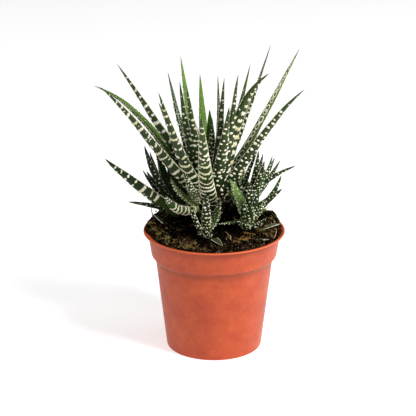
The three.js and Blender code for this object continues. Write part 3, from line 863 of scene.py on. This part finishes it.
mother_rows = [adult(*numbers) for numbers in MOTHER_LEAVES]
stems = [leaf_body(adult(*SPROUT_STALK), *ADULT_GRID), unmarked(turned(rounded(MOTHER_STEM), 32))]
mother, mother_bumps = add_rosette("mother", mother_rows, stems, MOTHER_FOOT, leaf_skin, ADULT_GRID)
for piece in (mother, mother_bumps):
    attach(piece, "root")
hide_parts("mother_rosette")

# Sprout
# A young rosette of four leaves that grows on the stalk from the side of the old stem. It is bright
# green and thick with white dots, and its lowest leaf is striped.

SPROUT_AT = np.array([-7.8, -11, 14])
# Each leaf as azimuth, lean, length and width, and perhaps roll and marks of its own
SPROUT_LEAVES = [
    (292, [97, 63, 18], 26.7, 9, 45, "stripes"),
    (262, [56, 46, 13], 26.3, 6.5, -10),
    (300, [20, 24, 22], 26.7, 7, 15),
    (10, [15, 10, 14], 21.7, 4.5),
]
# How far the roots of a young rosette's leaves climb its stem
ROOT_CLIMB = 5
# Spacing in mm of the rows of points along a young leaf, and how many points go round it
YOUNG_GRID = (1.4, 14)


def young(rows, lift, deep, fresh, usual):
    """The leaves of a young rosette. A single lean is that of the middle."""
    made = []
    for i, (azimuth, lean, length, width, *more) in enumerate(rows):
        bend = lean if isinstance(lean, list) else [lean + 12, lean, 0.7 * lean]
        root = lift + ROOT_CLIMB * i / (len(rows) - 1)
        roll, marks = [*more, *(0, usual)[len(more) :]]
        # A long old leaf is paler than the rest
        tint = (0.28 if marks == "outer bands" else 0) + rng.uniform(deep, fresh)
        row = leaf(azimuth, root, bend, length, width, roll, marks, shoulder=0.3, fullness=2.1, tint=tint)
        made.append(row)
    return made


# Size of a young leaf's mottling
YOUNG_MOTTLE_SIZE = 3.33
# The same waxy leaf while it is young: fresh green, and bright on the face where light comes through
young_skin, shader, place = new_material(
    "haworthia leaf, waxy young skin", {"Roughness": 0.5, "IOR": 1.4, "Specular IOR Level": 0.3}
)
mottle = add_node(
    shader, "TexNoise", {"Vector": place, "Scale": 1 / YOUNG_MOTTLE_SIZE, "Detail": 4, "Roughness": 0.6}
)
tint = add_node(shader, "Attribute", {}, "Fac", attribute_name="tint")
fresh = add_node(shader, "Mix", {SHARE: tint, UNDER: "#1a2913", OVER: "#3f642a"}, MIXED, data_type="RGBA")
front = add_node(shader, "Mix", {SHARE: tint, UNDER: "#2b3f22", OVER: "#74924a"}, MIXED, data_type="RGBA")
face = add_node(shader, "Attribute", {}, "Fac", attribute_name="face")
share = add_node(shader, "Attribute", {}, "Fac", attribute_name="share")
root_share = add_node(shader, "MapRange", {"Value": share, "From Max": 0.5, "To Min": tint, "To Max": 0})
tip_share = add_node(shader, "MapRange", {"Value": share, "From Min": 0.94, "From Max": 0.99, "To Max": 0.7})
finish(shader, "#13200f", [(mottle, fresh), (face, front), (root_share, "#7b8f4c"), (tip_share, "#6b5a3c")])

sprout_rows = young(SPROUT_LEAVES, 0, 0.5, 1, "thick specks")
for piece in add_rosette("sprout", sprout_rows, [], MOTHER_FOOT + SPROUT_AT, young_skin, YOUNG_GRID):
    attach(piece, "root")

# Offsets
# Young rosettes that came up from the foot of the old plant. Their leaves are short, fresh green and
# thick with white dots on both sides. Each stands on a short stem in the peat.

# Place, lift of the stem, range from deep to fresh green and usual marks, then the leaves, each with
# azimuth, lean, length, width, and perhaps roll and marks of its own
OFFSETS = {
    # This offset is held to the darkest greens as painted shade, where it lies under the mother rosette
    "offset_left": ((-23, 9), 2.2, (0, 0.12, "fine specks"), [
        (290, [48, 49, 48], 64.2, 11, 35, "outer bands"),
        (281, [58, 74, 84], 34.6, 7, 30),
        (240, [50, 44, 40], 34, 8),
        (205, 50, 36, 8),
        (165, 50, 22, 7),
        (275, [48, 38, 32], 36.1, 7, 20),
        (285, [34, 26, 16], 49.9, 9.5, 20),
        (268, [30, 25, 18], 42.5, 9, 10),
        (232, [34, 24, 16], 44, 8.5),
        (205, 20, 38, 8.5),
        (180, 10, 26, 7.5),
    ]),
    "offset_front": ((-5, -18), 1.7, (0, 0.35, "specks"), [
        (30, 62, 7, 5),
        (300, 60, 8, 5),
        (345, 50, 8, 5),
        (300, [58, 22, 15], 24.3, 6),
        (130, [60, 28, 22], 22.6, 7),
        (180, 18, 16, 6),
        (0, [21, 11, 1], 25.3, 6),
    ]),
    "offset_right_front": ((21, -4), 2, (0.35, 1, "specks"), [
        (350, 62, 13, 7),
        (60, 60, 16, 7.5),
        (310, 58, 13, 7),
        (105, [46, 40, 32], 17, 7),
        (75, [42, 32, 26], 22.1, 7),
        (340, 26, 20, 7),
        (10, 36, 20, 7.5),
        (268, [14, 22, 31], 31.3, 8, -50),
        (50, [29, 19, 13], 26.5, 7.5),
        (170, 8, 17, 7),
        (15, 12, 28, 6.5),
        (282, [101, 95, 87], 21.1, 3.6),
    ]),
    "offset_right_back": ((19, 13), 1.7, (0.3, 1, "specks"), [
        (85, [58, 54, 50], 30.6, 8.5, -35),
        (95, [80, 40, 22], 36.6, 9, -30),
        (150, 56, 30, 8),
        (10, [40, 30, 24], 30, 8),
        (92, [10, 50, 74], 48, 8.5, -25),
        (115, [45, 40, 35], 41, 6),
        (50, [36, 28, 22], 36.4, 7.5),
        (100, [36, 30, 24], 40.4, 6.5),
        (75, [34, 26, 18], 42.5, 7),
        (330, 15, 26, 6.5),
        (112, [27, 20, 15], 38.2, 6.5),
        (60, [22, 14, 8], 41.9, 8),
        (78, [-14, 16, 24], 40.6, 6.5, -20),
        (45, [40, 26, 16], 39.9, 7.5),
        (350, [16, 10, 4], 20.6, 8),
    ]),
    "offset_back": ((9, 31), 1, (0.35, 1, "specks"), [
        (157, 60, 27, 8),
        (108, 58, 22, 7.5),
        (206, 56, 20, 7.5),
        (60, 44, 14, 6.5),
        (250, 40, 12, 6.5),
        (135, 38, 28, 7.5),
        (178, 30, 24, 7.5),
        (150, 12, 20, 6.5),
    ]),
    "offset_back_left": ((-15, 27), 1, (0.35, 1, "specks"), [
        (208, 60, 26, 8),
        (165, 56, 19, 7.5),
        (250, 56, 19, 7),
        (30, 40, 11, 6.5),
        (300, 44, 12, 6.5),
        (228, 36, 26, 7.5),
        (188, 32, 24, 7.5),
        (205, 12, 20, 6.5),
    ]),
}
OFFSET_STEM = [(0, -7), (2.6, -7), (2.6, 2), (1.5, 6), (0, 6)]

for name, ((x, y), lift, (deep, fresh, usual), rows) in OFFSETS.items():
    foot = np.array([x, y, float(soil_height(x, y))])
    leaves = young(rows, lift, deep, fresh, usual)
    stem = unmarked(turned([(r, z + lift if z > 0 else z) for r, z in OFFSET_STEM], 20))
    rosette, rosette_bumps = add_rosette(name, leaves, [stem], foot, young_skin, YOUNG_GRID)
    for piece in (rosette, rosette_bumps):
        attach(piece, "root")
    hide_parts(name)

# Dry sheaths
# The bases of the old plant's first leaves, dead and brown. They are thin and papery, still crossed
# by their cream bands, and clasp the stem in layers between the peat and the living leaves.

# Rings of sheaths as the height of their roots, radius and number
SHEATH_RINGS = [(2, 5.2, 9), (6, 5.6, 9), (10, 6, 8), (13.5, 6.2, 7)]
# Size of the streaks in a dead leaf
STREAK_SIZE = 2


def sheath(azimuth, root, radius):
    """A dead leaf base that clasps the stem and curls away from it at its torn end."""
    lean = [rng.uniform(4, 12), rng.uniform(14, 30), rng.uniform(50, 95)]
    length, width, roll, tint = rng.uniform([8, 7, -12, 0], [12, 9, 12, 1])
    row = leaf(azimuth, root, lean, length, width, roll, fatness=0.22, shoulder=0.1, fullness=3.5, tint=tint)
    turn = math.radians(azimuth)
    row["points"] = row["points"] + [radius * math.sin(turn), -radius * math.cos(turn), 0]
    return row


def withered_bands(row):
    """The cream bands that stay on a dead leaf base."""
    places = np.arange(0.3 * row["length"], 0.85 * row["length"], 3.4) + rng.uniform(-0.3, 0.3)
    bands = []
    for at in places:
        start, end = rng.uniform(0.2, 0.6), rng.uniform(2.5, 3)
        bands.append(ridge(row, at, start, end, 0.8, 0.22, rng.uniform(0, 0.4)))
    return bands


# Dead leaf: papery, from grey brown to tan, streaked and matt
dry_leaf, shader, place = new_material("dead leaf, papery and matt", {"Roughness": 0.85, "IOR": 1.4})
streak = add_node(
    shader, "TexNoise", {"Vector": place, "Scale": 1 / STREAK_SIZE, "Detail": 4, "Roughness": 0.7}
)
tint = add_node(shader, "Attribute", {}, "Fac", attribute_name="tint")
brown = add_node(shader, "Mix", {SHARE: tint, UNDER: "#1d150d", OVER: "#46341f"}, MIXED, data_type="RGBA")
finish(shader, "#20190f", [(streak, brown)], (streak, 0.5, 0.4))

sheaths = []
for ring, (root, radius, count) in enumerate(SHEATH_RINGS):
    for i in range(count):
        azimuth = 360 * (i + 0.5 * (ring % 2)) / count + rng.uniform(-12, 12)
        sheaths.append(sheath(azimuth, root, radius))
bodies = [leaf_body(row, 1.2, 12) for row in sheaths]
bumps = [part for row in sheaths for part in withered_bands(row)]
sheath_layer = add_mesh("dry_sheaths", moved(bodies, MOTHER_FOOT), dry_leaf)
sheath_bands = add_mesh("sheath_bands", moved(bumps, MOTHER_FOOT), cork)
for piece in (sheath_layer, sheath_bands):
    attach(piece, "root")

# Fallen leaf
# The end of an old leaf that has dropped at the front: dull grey green, with its two pale margins
# still on it. More shed ends and a thin dotted one lie on the peat near the rim.

# The leaf's end as azimuth, root, lean, length and width, and its place and rise over the peat
FALLEN_LEAF = (34.5, 0, [96, 103, 106], 10, 5.4)
FALLEN_AT = (-0.4, -22.3, 0.9)
# Place, azimuth, lean, length, width and whether dots line the edges
SHED_ENDS = [
    ((-31, -0.6, 1), 210, 84, 17, 5, True),
    ((-26, 0.6, 0.6), 110, 92, 7.5, 1.9, False),
    ((30, -1.5, 0.8), 118, 84, 15, 2.2, True),
    ((26.4, -18, 0.5), 106, 91, 9.5, 1.1, True),
    ((24.5, -0.6, 1.6), 124, 84, 9, 1.6, False),
    ((10, 36.5, 0.8), 250, 90, 12, 3.2, True),
    ((-32, -12, 0.6), 60, 92, 6, 1.6, False),
    ((-30, 22, 0.9), 200, 88, 10, 3, True),
]
# Size of the faded patches in a shed leaf
FADED_SIZE = 3.125


def strand(path, thickness, tone, flatness=1):
    """A fine stalk that tapers along a path in mm. A flatness below 1 makes it a ribbon."""
    path = np.array(path, float)
    along = np.gradient(path, axis=0)
    along /= np.linalg.norm(along, axis=1)[:, None]
    side = np.cross(along, [0.31, 0.2, 0.93])
    side /= np.linalg.norm(side, axis=1)[:, None]
    lift = np.cross(side, along)
    taper = thickness / 2 * (1 - 0.7 * np.linspace(0, 1, len(path)) ** 2)
    turns = np.arange(4)[None, :, None] * math.pi / 2
    round_it = np.cos(turns) * side[:, None] + flatness * np.sin(turns) * lift[:, None]
    count = len(path)
    foot_face, tip_face = np.array([[0, 1, 2, 3]]), np.array([[3, 2, 1, 0]]) + 4 * (count - 1)
    faces = [ring_quads(count, 4)[:, ::-1], foot_face, tip_face]
    return toned(path[:, None] + taper[:, None, None] * round_it, faces, tone)


def margins(row, thickness, tone):
    """The pale horny edge along both sides of a leaf."""
    t = np.linspace(0.02, 0.99, 18)
    return [strand(on_leaf(row, t, angle, 0.04), thickness, tone) for angle in (0, math.pi)]


# A shed leaf: still a little green, duller and browner than a living one
shed_leaf, shader, place = new_material("shed leaf, dull green", {"Roughness": 0.7, "IOR": 1.4})
fade = add_node(shader, "TexNoise", {"Vector": place, "Scale": 1 / FADED_SIZE, "Detail": 4, "Roughness": 0.6})
tint = add_node(shader, "Attribute", {}, "Fac", attribute_name="tint")
dull = add_node(shader, "Mix", {SHARE: tint, UNDER: "#37422f", OVER: "#6b7a4c"}, MIXED, data_type="RGBA")
finish(shader, "#2c3226", [(fade, dull)], (fade, 0.4, 0.4))

row = leaf(*FALLEN_LEAF, fatness=0.5, shoulder=0.3, fullness=1.5, tint=0.3)
fallen_place = np.array([*FALLEN_AT[:2], ground_z(*FALLEN_AT[:2]) + FALLEN_AT[2]])
fallen = add_mesh("fallen_leaf_end", moved([leaf_body(row, 0.7, 16)], fallen_place), shed_leaf)
fallen_edge = add_mesh("fallen_leaf_margins", moved(margins(row, 0.55, 0.2), fallen_place), cork)
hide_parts("fallen_leaf")
ends, end_bumps = [], []
for (x, y, rise), azimuth, lean, length, width, dotted in SHED_ENDS:
    bend, tint = [lean - 6, lean, lean + 10], rng.uniform(0, 1)
    row = leaf(azimuth, 0, bend, length, width, 20, fatness=0.5, shoulder=0.3, fullness=2.1, tint=tint)
    rest = np.array([x, y, ground_z(x, y) + rise])
    ends += moved([leaf_body(row, 0.8, 12)], rest)
    if dotted:
        end_bumps += moved([teeth(row, 0.95, 0.42)], rest)
shed = add_mesh("shed_leaf_ends", ends, shed_leaf)
shed_dots = add_mesh("shed_leaf_dots", end_bumps, cork)
for piece in (fallen, fallen_edge, shed, shed_dots):
    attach(piece, "root")

# Moss, straw and a seedling
# Cushion moss has taken on the damp peat near the rim, olive where it is wet and yellow to rust where
# it has dried. Straw, root fibres and curled dry scales lie on it, and a seedling has come up.

# Patches as x, y, spread, number of tufts and how dry they are
MOSS_PATCHES = [
    (-40.5, 2, 2.2, 12, 0.35),
    (-38, -5, 2.6, 16, 0.5),
    (-34.5, -10.5, 2.4, 14, 0.4),
    (-30, -17, 2.2, 12, 0.45),
    (-26.5, -21.5, 2.2, 12, 0.5),
    (-22, -26, 2.2, 14, 0.6),
    (-17, -29, 2, 12, 0.45),
    (-12.5, -31.5, 1.8, 10, 0.7),
    (-14, -26.5, 2, 9, 0.5),
    (-7, -34, 1.6, 6, 0.4),
    (14.5, -21.5, 1.8, 9, 0.55),
    (18, -20, 2, 12, 0.75),
    (21, -15.5, 2.4, 16, 0.9),
    (24, -12, 2, 12, 0.8),
    (20, -10, 1.8, 9, 0.95),
    (29, -4, 2, 10, 0.2),
    (32.5, -1, 2, 10, 0.15),
    (35, -3, 1.6, 7, 0.25),
    (31, -9, 1.6, 7, 0.5),
    (-33, 22, 2.6, 12, 0.4),
    (-24, 33, 2.4, 12, 0.6),
    (-3, 40, 2.2, 10, 0.3),
    (20, 35, 2.4, 12, 0.5),
    (37, 12, 1.8, 8, 0.4),
    (-8, 17, 2.4, 8, 0.3),
]
FIBRES = 90
FIBRE_STEPS = 8
# A straw at the right with a branch, and one that stands at the left, as points and thickness
STRAWS = [
    ([(37.6, -11.6, 75.6), (38.6, -9, 76.6), (39.4, -6, 78.2), (39.6, -3.4, 79.4)], 0.9),
    ([(36, -12.5, 75.4), (37.4, -11.4, 75.6), (39, -10.2, 75.9)], 0.7),
    ([(-39.2, 11.5, 81.6), (-39.8, 12.4, 84), (-40.3, 13.2, 86.4), (-40.2, 14.2, 88.4)], 0.8),
]
# Curled dry scales in front of the middle
SCALES = [
    [(6.6, -11, 79.9), (7.4, -12.4, 80.3), (8.4, -14.2, 80), (8.9, -16.2, 79.4), (8.4, -18, 78.9)],
    [(8.8, -15.6, 79.2), (9.8, -16.8, 79.6), (10.3, -18.6, 79.1), (9.8, -20.6, 78.3)],
    [(7.6, -18, 78.6), (7.2, -19.6, 78.8), (7.8, -21.2, 78.3), (9.2, -21.8, 77.6)],
    [(9, -18.4, 78.6), (9.9, -20, 78.7), (10.9, -21.6, 77.9)],
]
# The seedling's leaves as place, azimuth and length
SEED_LEAVES = [
    ((33, 18), 70, 3.4),
    ((33, 18), 250, 3),
    ((33, 18), 340, 2.4),
    ((31.4, 15.5), 120, 2.2),
    ((31.4, 15.5), 300, 2),
]
# Sizes of the patches of colour in the moss, the straw and the seedling
CLUMP_SIZE = 1.667
WORN_SIZE = 1.43
SHADE_SIZE = 1.11


def tuft(x, y, dryness):
    """A few short stems of moss that lean out of one spot."""
    stems = []
    for _ in range(rng.integers(6, 11)):
        turn, reach, height = rng.uniform(0, 2 * math.pi), rng.uniform(0.4, 1.9), rng.uniform(0.4, 1.5)
        out = np.array([math.cos(turn), math.sin(turn), 0])
        foot = np.array([x, y, ground_z(x, y) - 0.2]) + out * 0.2
        path = [foot + out * reach * s + [0, 0, height * math.sin(2.4 * s)] for s in (0, 0.35, 0.7, 1)]
        thickness = rng.uniform(0.2, 0.42)
        stems.append(strand(path, thickness, float(np.clip(dryness + rng.normal(0, 0.24), 0, 1))))
    return stems


def fibre(x, y, length, thickness, tone):
    """A dry fibre that wanders over the ground."""
    heading, path = rng.uniform(0, 2 * math.pi), []
    stride = length / FIBRE_STEPS
    for _ in range(FIBRE_STEPS):
        path.append((x, y, ground_z(x, y) + rng.uniform(0.1, 0.5)))
        heading += rng.normal(0, 0.35)
        x, y = x + stride * math.cos(heading), y + stride * math.sin(heading)
        if math.hypot(x, y) > 40:
            break
    return strand(path, thickness, tone)


# Cushion moss: matt, from olive when wet through yellow to rust when dry
moss_skin, shader, place = new_material("cushion moss, drying", {"Roughness": 0.9, "IOR": 1.35})
clump = add_node(
    shader, "TexNoise", {"Vector": place, "Scale": 1 / CLUMP_SIZE, "Detail": 3, "Roughness": 0.6}
)
tone = add_node(shader, "Attribute", {}, "Fac", attribute_name="tone")
colour = "#8a8a48"
for start, end, drier in ((0.1, 0.6, "#e0c988"), (0.55, 1, "#c8803f")):
    dried = add_node(shader, "MapRange", {"Value": tone, "From Min": start, "From Max": end})
    colour = add_node(shader, "Mix", {SHARE: dried, UNDER: colour, OVER: drier}, MIXED, data_type="RGBA")
finish(shader, "#6e6238", [(clump, colour)])

# Straw, root fibres and curled scales: dry, from brown to pale tan, with a faint gloss
straw_skin, shader, place = new_material("straw and root fibre, dry", {"Roughness": 0.6, "IOR": 1.45})
worn = add_node(shader, "TexNoise", {"Vector": place, "Scale": 1 / WORN_SIZE, "Detail": 3})
tone = add_node(shader, "Attribute", {}, "Fac", attribute_name="tone")
tan = add_node(shader, "Mix", {SHARE: tone, UNDER: "#4a2f1a", OVER: "#ecc9a0"}, MIXED, data_type="RGBA")
finish(shader, "#9a7048", [(worn, tan)])

tufts = []
for x, y, spread, count, dryness in MOSS_PATCHES:
    for _ in range(count):
        tx, ty = rng.normal(x, spread * 0.55), rng.normal(y, spread * 0.55)
        if math.hypot(tx, ty) < 41 or soil_height(tx, ty) > 79:
            tufts += tuft(tx, ty, dryness)
moss = add_mesh("moss", tufts, moss_skin)

litter = []
for _ in range(FIBRES):
    turn, radius = rng.uniform(0, 2 * math.pi), rng.uniform(8, 37)
    x, y = radius * math.cos(turn), radius * math.sin(turn)
    litter.append(fibre(x, y, rng.uniform(3, 9), rng.uniform(0.16, 0.3), rng.uniform(0, 0.7) ** 1.5))
litter += [strand(path, thickness, 1) for path, thickness in STRAWS]
litter += [strand(path, rng.uniform(1, 1.4), rng.uniform(0.8, 1), 0.45) for path in SCALES]
straw = add_mesh("straw_and_fibres", litter, straw_skin)

# Seedling: two thin bright seed leaves and the first true ones
seedling_skin, shader, place = new_material(
    "seedling leaf, soft and bright", {"Roughness": 0.5, "IOR": 1.4}
)
shade = add_node(shader, "TexNoise", {"Vector": place, "Scale": 1 / SHADE_SIZE})
finish(shader, "#6f9a1e", [(shade, "#a9cf3a")])
seed_leaves = []
for (x, y), azimuth, length in SEED_LEAVES:
    width = 0.75 * length
    row = leaf(azimuth, 1.6, [30, 62, 84], length, width, fatness=0.3, shoulder=0.9, fullness=3, tint=0)
    ground_at = ground_z(x, y)
    seed_leaves += moved([leaf_body(row, 0.35, 10)], np.array([x, y, ground_at]))
    seed_leaves.append(unmarked(strand([(x, y, ground_at + s) for s in (-0.4, 0.6, 1.8)], 0.5, 0)))
seedling = add_mesh("seedling", seed_leaves, seedling_skin)
for piece in (moss, straw, seedling):
    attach(piece, "root")

# Studio
# A pale floor, a small soft key light from the front right above, a weak broad fill in front, a weak
# rim light at each side and a dim white surround. The camera looks down on the front of the plant.

FLOOR_HALF = 3000
# The places and sizes of the lights and the camera are in metres
AIM = (0, 0, 0.09)
# Lights as name, place, size and power
LIGHTS = [
    ("key light", (0.75, -0.6, 0.95), 0.35, 10),
    ("fill light", (0.4, -1.15, 0.5), 1.0, 2),
    ("right rim light", (1.1, 0.15, 0.3), 0.8, 4),
    ("left rim light", (-1.1, 0.15, 0.3), 0.8, 1.5),
]
CAMERA_AT = (-0.0039, -0.9455, 0.4176)
# How many degrees the camera looks down by, and its focal length in mm
CAMERA_DIP = 19
LENS = 136.47

paper, *_ = new_material(
    "white paper, matt",
    {"Roughness": 0.9, "Base Color": "#f4f4f6", "Emission Color": "#ffffff", "Emission Strength": 0.5},
)
corners = np.array([(-1, -1, 0), (1, -1, 0), (1, 1, 0), (-1, 1, 0)]) * FLOOR_HALF
floor = add_mesh("floor", [{"points": corners, "faces": [np.array([[0, 1, 2, 3]])]}], paper)

for name, place, size, power in LIGHTS:
    lamp = bpy.data.lights.new(name, "AREA")
    lamp.size = size
    lamp.energy = power
    shown = bpy.data.objects.new(name, lamp)
    shown.location = place
    shown.rotation_euler = (Vector(AIM) - Vector(place)).to_track_quat("-Z", "Y").to_euler()
    bpy.context.scene.collection.objects.link(shown)

surround = bpy.data.worlds.new("white surround")
surround.use_nodes = True
set_sockets(surround.node_tree.nodes["Background"], {"Color": "#ffffff", "Strength": 0.2})
bpy.context.scene.world = surround

camera = bpy.data.objects.new("camera", bpy.data.cameras.new("camera"))
camera.data.lens = LENS
camera.data.sensor_width = 36
camera.data.clip_end = 20
camera.location = CAMERA_AT
camera.rotation_euler = (math.radians(90 - CAMERA_DIP), 0, 0)
bpy.context.scene.collection.objects.link(camera)
bpy.context.scene.camera = camera
bpy.context.scene.view_settings.view_transform = "Standard"
bpy.context.scene.view_settings.look = "Medium High Contrast"
